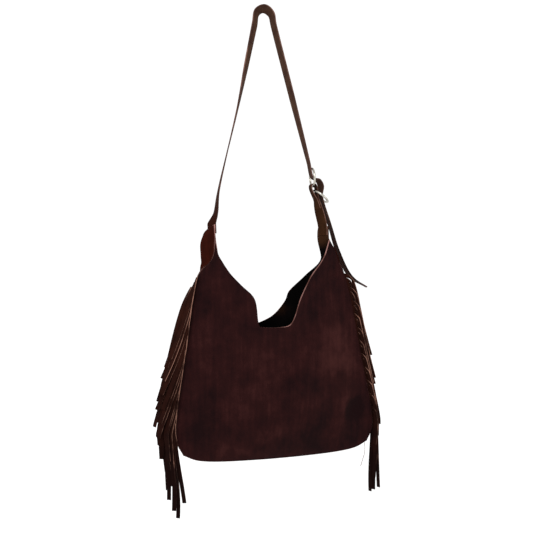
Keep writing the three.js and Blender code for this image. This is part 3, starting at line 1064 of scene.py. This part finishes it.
@dataclass
class Fringe:
    """One side's fringe: a header in the seam, cut into strips that hang over each other."""

    node: str
    side: Side
    reach: float
    springy: float
    spread: float
    facing: float
    seed: int
    loose: float = 14.0
    drift: float = 6.0
    strips: int = 33
    cut: float = 0.7
    length: float = 158.0
    header: float = 10.0
    leather: float = 1.4
    steps: int = 34
    # Strips hang in layers from front to back, with a gap between them, and a little astray.
    layers: int = 3
    layer_gap: float = 0.8
    astray: float = 0.7
    # The first strips stand out further, for about this many strips or millimetres of the header.
    springy_strips: float = 6.0
    springy_run: float = 50.0
    # Limits of the strips' own differences, and the usual swing of their ends in millimetres.
    reaches: tuple[float, float] = (0.85, 1.2)
    lengths: tuple[float, float] = (0.93, 1.03)
    cups: tuple[float, float] = (-0.5, 0.9)
    most_drift: float = 2.2
    most_taper: float = 0.1
    swing: float = 3.0
    # Steps along a strip lie closer at its root by this power.
    root_steps: float = 1.25
    # A strip bends over along this many times its reach and then falls by this share of the rest.
    bend_run: float = 1.5
    fall_share: float = 0.985
    # Drift starts this far above the seam's foot and is full this far below it.
    drift_above: float = 15.0
    drift_below: float = 130.0
    # Strips that lie over others are pushed out by a power of the overlap, which differs by layer.
    crowd_power: float = 1.2
    crowd_step: float = 0.5
    # Waves of a strip from front to back, in millimetres and radians.
    ripple: float = 1.2
    ripple_turn: float = 3.0
    # Shares of the bend over which a strip finds its layer and turns flat, and of the strip to face out.
    parting: tuple[float, float] = (0.1, 0.9)
    flattening: tuple[float, float] = (0.1, 0.75)
    facing_out: tuple[float, float] = (0.02, 0.3)
    # The header stands out by this share of the reach, in full from this far below its top.
    proud_share: float = 0.7
    proud_run: float = 30.0
    header_steps: int = 60

    def strip(self, shape: BodyShape, index: int, chance: np.random.Generator) -> Strip:
        """Lays out one strip.

        Args:
            shape: The body.
            index: The strip's number from the top.
            chance: Source of the strip's own differences.

        Returns:
            The strip's path, and the directions across and through it.
        """
        pitch = (shape.fringe_end_drop - shape.fringe_top_drop) / self.strips
        width = pitch - self.cut
        root_z = -(shape.fringe_top_drop + (index + 0.5) * pitch)
        layer = index % self.layers - self.layers // 2
        layer_y = layer * (width + self.layer_gap) + chance.normal(0.0, self.astray)
        first = math.exp(-index / self.springy_strips)
        reach = (self.reach + self.springy * first) * chance.uniform(*self.reaches)
        length = self.length * chance.uniform(*self.lengths)
        facing = self.facing + chance.normal(0.0, self.loose)
        swing = chance.normal(0.0, self.swing)
        drift = self.drift * chance.uniform(0.0, self.most_drift)
        gone = np.linspace(0.0, 1.0, self.steps) ** self.root_steps
        way = gone * length
        bend_run = self.bend_run * reach
        bend = np.clip(way / bend_run, 0.0, 1.0)
        turned = np.sin(bend * np.pi / 2.0)
        fallen = np.maximum(way - bend_run, 0.0)
        drop = reach * (1.0 - np.cos(bend * np.pi / 2.0)) + fallen * self.fall_share
        z = root_z - drop
        overlap = np.clip(drop, 0.0, root_z + shape.fringe_end_drop)
        below = smooth_step(-z, shape.foot_drop - self.drift_above, shape.foot_drop + self.drift_below)
        x = shape.seam_half_width(z) - self.header / 4.0 * (1.0 - bend) + reach * turned
        crowded = (overlap / self.length) ** (self.crowd_power - self.crowd_step * layer)
        x = x + self.spread * crowded * turned - drift * below + swing * gone**2
        ripple = self.ripple * np.sin(self.ripple_turn * gone + index) * gone
        y = layer_y * smooth_step(bend, *self.parting) + ripple
        path = shape.hang(np.stack([self.side.value * x, y, z], axis=-1))
        along = unit(np.gradient(path, axis=0))
        level = np.broadcast_to([0.0, 1.0, 0.0], path.shape)
        rise = unit(np.cross(along, level)) * -self.side.value
        quarter = 90.0 * smooth_step(bend, *self.flattening)
        twist = np.radians(quarter + facing * smooth_step(gone, *self.facing_out))[:, None]
        across = unit(np.cos(twist) * rise + np.sin(twist) * level)
        through = unit(np.cross(along, across))
        taper = 1.0 - self.most_taper * chance.random() * gone[:, None]
        return path, across * width / 2.0 * taper, through * self.leather / 2.0

    def build(self, shape: BodyShape) -> bpy.types.Object:
        """Builds the fringe.

        Args:
            shape: The body.

        Returns:
            The fringe's object.
        """
        chance = np.random.default_rng(self.seed)
        mesh = Mesh()
        heights = np.linspace(-shape.fringe_top_drop, -shape.fringe_end_drop, self.header_steps)
        sunk = -heights - shape.fringe_top_drop
        bent = self.reach + self.springy * np.exp(-sunk / self.springy_run)
        proud = self.proud_share * bent * smooth_step(sunk, 0.0, self.proud_run)
        middle = self.side.value * (shape.seam_half_width(heights) + (proud - self.header) / 2.0)
        path = shape.hang(np.stack([middle, 0.0 * heights, heights], axis=-1))
        across = self.side.value * (self.header + proud)[:, None] / 2.0 * np.array([1.0, 0.0, 0.0])
        through = np.broadcast_to([0.0, self.side.value * self.leather / 2.0, 0.0], path.shape)
        mesh.add_ribbon(path, across, through, cupped_profile(0.0))
        for index in range(self.strips):
            profile = cupped_profile(chance.uniform(*self.cups))
            mesh.add_ribbon(*self.strip(shape, index, chance), profile)

        def shade(points: Array) -> Array:
            """Darkens the strips towards their ends."""
            return FRINGE_SHADE.at(points[:, 0], points[:, 2]) + FRINGE_RUB

        suede = FRINGE_SUEDE.material()
        return mesh.finish(f"{self.node}_suede", [suede, suede, FRINGE_EDGE.material()], shade)

    def dress(self, made: bpy.types.Object) -> None:
        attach(made, "bag")
        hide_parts(self.node)


@dataclass
class RingSet:
    """Where the two rings hang in the tab's loop, in millimetres."""

    shape: BodyShape
    outer: float = 38.0
    wire: float = 4.0
    spacing: float = 7.4
    reach: float = 76.0
    arch: float = 14.0
    tab_leather: float = 1.8

    def __post_init__(self) -> None:
        """Finds the pivots on the line from the tab's foot to the arch."""
        self.radius = (self.outer - self.wire) / 2.0
        self.foot = self.shape.sewn_in_leaf(Side.RIGHT, 0.0, self.tab_leather)
        self.line = unit(np.array([self.arch, 0.0, 0.0]) - self.foot)
        self.upper = self.foot + self.line * self.reach
        self.lower = self.upper - self.line * self.spacing


# Places across a strap, each with its outer and inner height; its corners are worn round.
PLAIN_PROFILE = [
    (-1.0, 0.45, -0.45),
    (-0.93, 1.0, -1.0),
    (-0.4, 1.12, -0.88),
    (0.4, 1.12, -0.88),
    (0.93, 1.0, -1.0),
    (1.0, 0.45, -0.45),
]


def flat_strip(route: SmoothCurve, shares: Array, width: Array, leather: float, roll: Array) -> Strip:
    """Lays out a flat strip along a route in the XZ plane, its width along Y and rolled about the route.

    Args:
        route: The strip's middle.
        shares: Places along the route.
        width: The width at each place.
        leather: The thickness.
        roll: The roll at each place, in radians.

    Returns:
        The path, and half widths across and half thicknesses through it.
    """
    along = route.tangent(shares)
    inward = np.stack([along[:, 2], 0.0 * shares, -along[:, 0]], axis=-1)
    level = np.array([0.0, 1.0, 0.0])
    across = np.cos(roll)[:, None] * level + np.sin(roll)[:, None] * inward
    through = unit(np.cross(along, across))
    return route.at(shares), across * width[:, None] / 2.0, through * leather / 2.0


# The strap's roll in degrees at shares of its left run and of its right run down to the upper ring.
LEFT_RUN_ROLLS = ((0.05, -8.0), (0.15, 6.0), (0.55, 18.0), (0.75, 35.0), (0.95, 43.0))
RIGHT_RUN_ROLLS = ((0.06, 10.0), (0.5, 8.0), (0.9, -6.0))
# Its roll at angles round the arch, with the share of the sag there, and round the upper ring.
ARCH_ROLLS = ((-75.0, 0.0, 42.0), (0.0, 1.0, 30.0), (75.0, 0.0, 16.0))
WRAP_ROLLS = ((40.0, 6.0), (85.0, 12.0))


@dataclass
class ShoulderStrap:
    """The strap, from the left leaf over the arch and through both rings to its free tail."""

    node: str = "shoulder_strap"
    width: float = 20.0
    tip_width: float = 7.0
    bow: float = 4.0
    wrap: float = 16.0
    standoff: float = 6.5
    flare: float = 48.0
    fall: float = 29.0
    leather: float = 2.2
    upper_turn: float = -4.0
    lower_turn: float = 128.0
    # Shares of the left run where it bows most and where it is straight again.
    bow_peak: float = 0.15
    bow_end: float = 0.55
    arch_sag: float = 2.5
    tail_share: float = 0.3
    steps_per_span: int = 22

    def way(self, shape: BodyShape, rings: RingSet) -> list[tuple[Array, float]]:
        """Lays out the strap's way points.

        Args:
            shape: The body.
            rings: The rings.

        Returns:
            Points in millimetres, each with the strap's roll in degrees.
        """
        sewn_roll = -math.degrees(shape.leaf_angle)
        left_foot = shape.hang(mirrored(shape.leaf_top))
        arch_left, arch_right = np.array([-rings.arch, 0.0, 0.0]), np.array([rings.arch, 0.0, 0.0])
        upper = polar(rings.upper, rings.radius, self.upper_turn)
        lower = polar(rings.lower, rings.radius, self.lower_turn)
        beside = shape.peak_half_width + shape.leaf_bulge + self.standoff
        leaf_middle = -(shape.leaf_drop + shape.seam_top_drop) / 2.0
        tail = shape.hang(shape.seam_top) + [self.flare, 0.0, -self.fall]

        def left_run(share: float) -> Array:
            """Finds a point up the left run, which bows a little."""
            straight = smooth_step(share, self.bow_peak, self.bow_end)
            bow = self.bow * smooth_step(share, 0.0, self.bow_peak) * (1.0 - straight)
            return left_foot + (arch_left - left_foot) * share - [float(bow), 0.0, 0.0]

        overlap = shape.sewn_overlap
        return [
            *(
                (shape.sewn_in_leaf(Side.LEFT, depth, self.leather), sewn_roll)
                for depth in (overlap, overlap / 4.0, 0.0)
            ),
            *((left_run(share), roll) for share, roll in LEFT_RUN_ROLLS),
            *(
                (polar(np.zeros(3), rings.arch - sag * self.arch_sag, turn), roll)
                for turn, sag, roll in ARCH_ROLLS
            ),
            *((arch_right + (upper - arch_right) * share, roll) for share, roll in RIGHT_RUN_ROLLS),
            (upper, -7.0),
            *((polar(rings.upper, self.wrap, turn), roll) for turn, roll in WRAP_ROLLS),
            (lower, 2.0),
            (shape.hang(shape.leaf_top) + [self.standoff, 0.0, 0.0], -6.0),
            (shape.hang(np.array([beside, 0.0, leaf_middle])), -3.0),
            (shape.hang(shape.seam_top) * (1.0 - self.tail_share) + tail * self.tail_share, 0.0),
            (tail, 0.0),
        ]

    def build(self, shape: BodyShape, rings: RingSet) -> bpy.types.Object:
        """Builds the strap.

        Args:
            shape: The body.
            rings: The rings.

        Returns:
            The strap's object.
        """
        way = self.way(shape, rings)
        route = SmoothCurve([place for place, _ in way])
        spans = len(way) - 1
        shares = np.linspace(0.0, 1.0, self.steps_per_span * spans + 1)
        roll = np.radians(np.interp(shares * spans, np.arange(len(way)), [turn for _, turn in way]))
        tapered = smooth_step(shares, 1.0 - 1.0 / spans, 1.0)
        width = self.width + (self.tip_width - self.width) * tapered
        mesh = Mesh()
        mesh.add_ribbon(*flat_strip(route, shares, width, self.leather, roll), PLAIN_PROFILE)
        self.length = route.length

        def shade(points: Array) -> Array:
            """Darkens the sewn end, and the tail with painted shade."""
            return sum(patch.at(points[:, 0], points[:, 2]) for patch in STRAP_SHADES)

        face = STRAP_FACE.material()
        return mesh.finish(f"{self.node}_leather", [face, face, STRAP_EDGE.material()], shade)

    def dress(self, made: bpy.types.Object) -> None:
        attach(made, "bag")
        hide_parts(self.node)


@dataclass
class RingTab:
    """The folded tab that holds both rings in its loop."""

    node: str = "ring_tab"
    base_width: float = 20.0
    loop_width: float = 14.0
    fold: float = 42.0
    clearance: float = 0.7
    leather: float = 1.8
    # The throat lies this many loop radii below the lower ring's pivot.
    throat: float = 3.5
    # The tab is fully turned with the leaf from this far above the leaf's top.
    turn_above: float = 20.0
    # Shares of the tab over which it narrows to the loop.
    narrows: tuple[float, float] = (0.12, 0.34)
    steps: int = 220

    def build(self, shape: BodyShape, rings: RingSet) -> bpy.types.Object:
        """Builds the tab.

        Args:
            shape: The body.
            rings: The rings.

        Returns:
            The tab's object.
        """
        sagged = rings.radius - math.sqrt(rings.radius**2 - (self.loop_width / 2.0) ** 2)
        loop = rings.wire / 2.0 + sagged + self.clearance + self.leather / 2.0
        layer = (self.leather + shape.sewn_gap) / 2.0
        leftward = np.array([-rings.line[2], 0.0, rings.line[0]])
        diagonal = loop * math.sqrt(0.5)
        throat = -rings.spacing - self.throat * loop

        def at(reach: float, left: float) -> Array:
            """Finds a point from its reach along the tab and its distance to the left."""
            return rings.upper + rings.line * reach + leftward * left

        route = SmoothCurve(
            [
                shape.sewn_in_leaf(Side.RIGHT, shape.sewn_overlap, self.leather),
                rings.foot,
                at(throat, -layer),
                at(-rings.spacing, -loop),
                at(0.0, -loop),
                at(diagonal, -diagonal),
                at(loop, 0.0),
                at(diagonal, diagonal),
                at(0.0, loop),
                at(-rings.spacing, loop),
                at(throat, layer),
                at(-self.fold, layer),
            ]
        )
        shares = np.linspace(0.0, 1.0, self.steps)
        height = route.at(shares)[:, 2]
        full_turn = shape.leaf_drop - self.turn_above
        turned = shape.leaf_angle * smooth_step(-height, -rings.lower[2], full_turn)
        roll = -turned * np.sign(route.tangent(shares)[:, 2])
        narrowed = smooth_step(shares, *self.narrows)
        width = self.base_width + (self.loop_width - self.base_width) * narrowed
        mesh = Mesh()
        mesh.add_ribbon(*flat_strip(route, shares, width, self.leather, roll), PLAIN_PROFILE)
        self.length = route.length
        face = TAB_FACE.material()
        return mesh.finish(f"{self.node}_leather", [face, face, STRAP_EDGE.material()])

    def dress(self, made: bpy.types.Object) -> None:
        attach(made, "bag")
        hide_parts(self.node)


@dataclass
class WireRing:
    """One round ring of plated wire."""

    node: str
    pivot: Array
    turn: float
    slack: float
    rings: RingSet
    around: int = 128
    tube: int = 28

    def build(self) -> bpy.types.Object:
        """Builds the ring, turned a little within the slack of the tab's loop.

        Returns:
            The ring's object.
        """
        swept = np.linspace(0.0, 2.0 * np.pi, self.around, endpoint=False)[:, None]
        ringed = np.linspace(0.0, 2.0 * np.pi, self.tube, endpoint=False)[None, :]
        half_wire = self.rings.wire / 2.0
        centre = polar(self.pivot, self.rings.radius, self.turn)
        up = (centre - self.pivot) / self.rings.radius
        level, turn = np.array([0.0, 1.0, 0.0]), math.radians(self.slack)
        level = math.cos(turn) * level + math.sin(turn) * np.cross(up, level)
        side = np.cross(up, level)
        out = self.rings.radius + half_wire * np.cos(ringed)
        points = (
            centre
            + (out * np.cos(swept))[..., None] * up
            + (out * np.sin(swept))[..., None] * level
            + (half_wire * np.sin(ringed) + 0.0 * swept)[..., None] * side
        )
        number = np.arange(self.around * self.tube).reshape(self.around, self.tube)
        ahead = np.roll(number, -1, 0)
        quads = np.stack([number, ahead, np.roll(ahead, -1, 1), np.roll(number, -1, 1)], axis=-1)
        faces = quads.reshape(-1, 4)
        return make_object(f"{self.node}_wire", points.reshape(-1, 3), faces, [RING_PLATE.material()])

    def dress(self, made: bpy.types.Object) -> None:
        """Lets the ring swing with its body."""
        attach(made, self.node)
        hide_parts(self.node)


@dataclass
class LooseThread:
    """The loose end of the bottom seam's thread."""

    node: str = "loose_thread"
    diameter: float = 1.0
    fall: Sequence[tuple[float, float]] = (
        (0.0, 0.0),
        (1.0, -10.0),
        (0.0, -21.0),
        (-4.0, -33.0),
        (-8.0, -45.0),
    )
    bottom_share: float = 0.985
    steps: int = 40
    roundness: int = 3

    def build(self, shape: BodyShape) -> bpy.types.Object:
        """Builds the thread as a round cord.

        Args:
            shape: The body.

        Returns:
            The thread's object.
        """
        below = shape.sewn_gap + self.diameter / 2.0
        start = shape.hang(shape.bottom.along(self.bottom_share)[0]) - [0.0, 0.0, below]
        route = SmoothCurve([start + [x, 0.0, z] for x, z in self.fall])
        points = route.along(np.linspace(0.0, 1.0, self.steps)) * MM
        curve = bpy.data.curves.new(f"{self.node}_cord", "CURVE")
        curve.dimensions = "3D"
        curve.bevel_depth = self.diameter / 2.0 * MM
        curve.bevel_resolution = self.roundness
        curve.use_fill_caps = True
        spline = curve.splines.new("POLY")
        spline.points.add(len(points) - 1)
        for spot, place in zip(spline.points, points, strict=True):
            spot.co = (*place, 1.0)
        curve.materials.append(SEAM_THREAD.material())
        made = bpy.data.objects.new(f"{self.node}_cord", curve)
        bpy.context.scene.collection.objects.link(made)
        self.exit, self.length = tuple(points[0]), route.length * MM
        return made

    def dress(self, made: bpy.types.Object) -> None:
        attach(made, "bag")
        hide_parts(self.node)


# Studio


@dataclass
class Studio:
    """A white floor, soft lights and the camera, which stands to the bag's left at half its height."""

    floor_height: float = -1.0
    floor_reach: float = 30.0
    glow: float = 1.05
    yaw: float = 18.0
    distance: float = 1.3
    lens: float = 47.98
    sensor: float = 36.0
    aim: tuple[float, float, float] = (0.00481, 0.0, -0.4597)

    def floor(self) -> None:
        """Lays the floor."""
        signs = ((-1, -1), (1, -1), (1, 1), (-1, 1))
        reach, height = self.floor_reach / MM, self.floor_height / MM
        corners = np.array([[x * reach, y * reach, height] for x, y in signs])
        made = make_object("studio_floor", corners, [(0, 1, 2, 3)], [FLOOR_PAINT.material()])

    def light(self, name: str, place: tuple[float, float, float], size: float, power: float) -> None:
        """Hangs a soft square light that looks at the bag.

        Args:
            name: The light's name.
            place: Where it hangs, in metres.
            size: Its width in metres.
            power: Its power in watts.
        """
        lamp = bpy.data.lights.new(name, "AREA")
        lamp.size = size
        lamp.energy = power
        made = bpy.data.objects.new(name, lamp)
        made.location = place
        made.rotation_euler = (Vector(self.aim) - Vector(place)).to_track_quat("-Z", "Y").to_euler()
        bpy.context.scene.collection.objects.link(made)

    def world(self) -> None:
        """Fills the room with even white light."""
        room = bpy.data.worlds.new("white_room")
        room.use_nodes = True
        room.node_tree.nodes.clear()
        light = {"Color": linear("#ffffff"), "Strength": self.glow}
        glow = add_node(room.node_tree, "ShaderNodeBackground", light)
        add_node(room.node_tree, "ShaderNodeOutputWorld", {"Surface": glow.outputs[0]})
        bpy.context.scene.world = room
        bpy.context.scene.view_settings.view_transform = "Standard"

    def camera(self) -> None:
        """Sets up the camera."""
        lens = bpy.data.cameras.new("studio_camera")
        lens.lens = self.lens
        lens.sensor_width = self.sensor
        made = bpy.data.objects.new("studio_camera", lens)
        turn = math.radians(self.yaw)
        away = Vector((math.sin(turn), math.cos(turn), 0.0)) * self.distance
        made.location = Vector(self.aim) - away
        made.rotation_euler = (math.pi / 2.0, 0.0, -turn)
        bpy.context.scene.collection.objects.link(made)
        bpy.context.scene.camera = made

    def build(self) -> None:
        """Sets up the whole studio."""
        self.floor()
        self.world()
        self.light("key_light", place=(-1.5, -2.4, 0.9), size=1.6, power=60.0)
        self.light("fill_light", place=(1.9, -1.8, 0.1), size=1.6, power=14.0)
        self.camera()


# Mouth edges from a peak down to the mouth's floor, as shares of the peaks' half width and of the fall.
FOLDED_EDGE = (
    (1.04, 0.18),
    (0.97, 0.27),
    (0.64, 0.52),
    (0.42, 0.68),
    (0.37, 0.94),
    (0.355, 0.985),
    (0.3, 0.995),
)
SLOPED_EDGE = ((0.75, 0.27), (0.4, 0.66), (0.18, 0.97))
SLOUCHED_EDGE = ((0.89, 0.24), (0.66, 0.43), (0.37, 0.62), (0.31, 0.72), (0.14, 0.86))

# Folds push a panel out or in by millimetres; the other patches lighten or darken its nap, some as
# rubbing and some as painted light and shade.
FRONT_FOLDS = (
    Patch(154.0, -730.0, 24.0, 20.0, -7.0, 20.0),
    Patch(122.0, -735.0, 12.0, 42.0, 2.6, -14.0),
    Patch(30.0, -612.0, 9.0, 46.0, -2.4, -28.0),
    Patch(52.0, -628.0, 14.0, 50.0, 1.8, -28.0),
    Patch(-70.0, -600.0, 12.0, 70.0, 1.6, 12.0),
    Patch(-120.0, -560.0, 12.0, 70.0, -1.6, 14.0),
    Patch(-60.0, -740.0, 60.0, 30.0, 2.0),
)
FRONT_RUBS_AND_PAINTED_SHADING = (
    Patch(107.0, -605.0, 55.0, 62.0, 0.16),
    # Painted light: lighter towards the left.
    Patch(-60.0, -640.0, 60.0, 90.0, 0.05),
    # Painted shade in the dent at the lower right corner.
    Patch(152.0, -728.0, 22.0, 18.0, -0.3, 20.0),
    # Painted highlight on the ridge beside that dent.
    Patch(122.0, -740.0, 14.0, 40.0, 0.09, -14.0),
    # Painted shade: darker towards the lower right.
    Patch(120.0, -780.0, 90.0, 40.0, -0.04),
)
BACK_FOLDS = (
    Patch(-60.0, -650.0, 16.0, 90.0, 2.0, 10.0),
    Patch(40.0, -700.0, 70.0, 30.0, 2.0, 4.0),
    Patch(110.0, -640.0, 14.0, 80.0, -1.8, -12.0),
)
BACK_RUBS_AND_PAINTED_SHADING = (
    Patch(0.0, -650.0, 80.0, 90.0, 0.08),
    Patch(140.0, -760.0, 60.0, 50.0, -0.1),
    # The next two lift the inside's painted shade back to the flesh side's own brown, at the right peak
    # and at a small place near the middle of the mouth.
    Patch(100.0, -388.0, 26.0, 36.0, 0.95),
    Patch(24.0, -540.0, 24.0, 22.0, 0.33),
)

# Darker places of the hung strap, the one over its tail being painted shade, and of the fringe towards
# the strips' ends; and how far rubbing lightens the whole fringe.
STRAP_SHADES = (Patch(-98.0, -380.0, 40.0, 60.0, -0.45), Patch(150.0, -430.0, 60.0, 90.0, -0.6))
FRINGE_SHADE = Patch(0.0, -900.0, 900.0, 160.0, -0.25)
FRINGE_RUB = 0.08


def main() -> None:
    """Builds the studio and the bag, piece by piece."""
    logging.basicConfig(level=logging.INFO, format="%(name)s %(message)s")
    shape = BodyShape()
    rings = RingSet(shape)
    Studio().build()

    thread = LooseThread()
    cord = thread.build(shape)
    thread.dress(cord)

    for panel in (
        Panel("front_panel", False, FOLDED_EDGE, SLOPED_EDGE, (0.385, 0.41), FRONT_FOLDS, FRONT_RUBS_AND_PAINTED_SHADING),
        Panel(
            "back_panel",
            True,
            SLOUCHED_EDGE,
            FOLDED_EDGE,
            (0.4, 0.435),
            BACK_FOLDS,
            BACK_RUBS_AND_PAINTED_SHADING,
            middle=0.925,
        ),
    ):
        made = panel.build(shape)
        panel.dress(made)

    for fringe in (
        Fringe("left_fringe", Side.LEFT, reach=2.5, springy=0.0, spread=31.0, facing=50.0, seed=11),
        Fringe("right_fringe", Side.RIGHT, reach=5.0, springy=7.0, spread=5.0, facing=-36.0, seed=23),
    ):
        made = fringe.build(shape)
        fringe.dress(made)

    for soft in (ShoulderStrap(), RingTab()):
        made = soft.build(shape, rings)
        soft.dress(made)

    for ring in (
        WireRing("upper_ring", rings.upper, ShoulderStrap.upper_turn, -7.0, rings),
        WireRing("lower_ring", rings.lower, ShoulderStrap.lower_turn, 4.0, rings),
    ):
        made = ring.build()
        ring.dress(made)


if __name__ == "__main__":
    main()
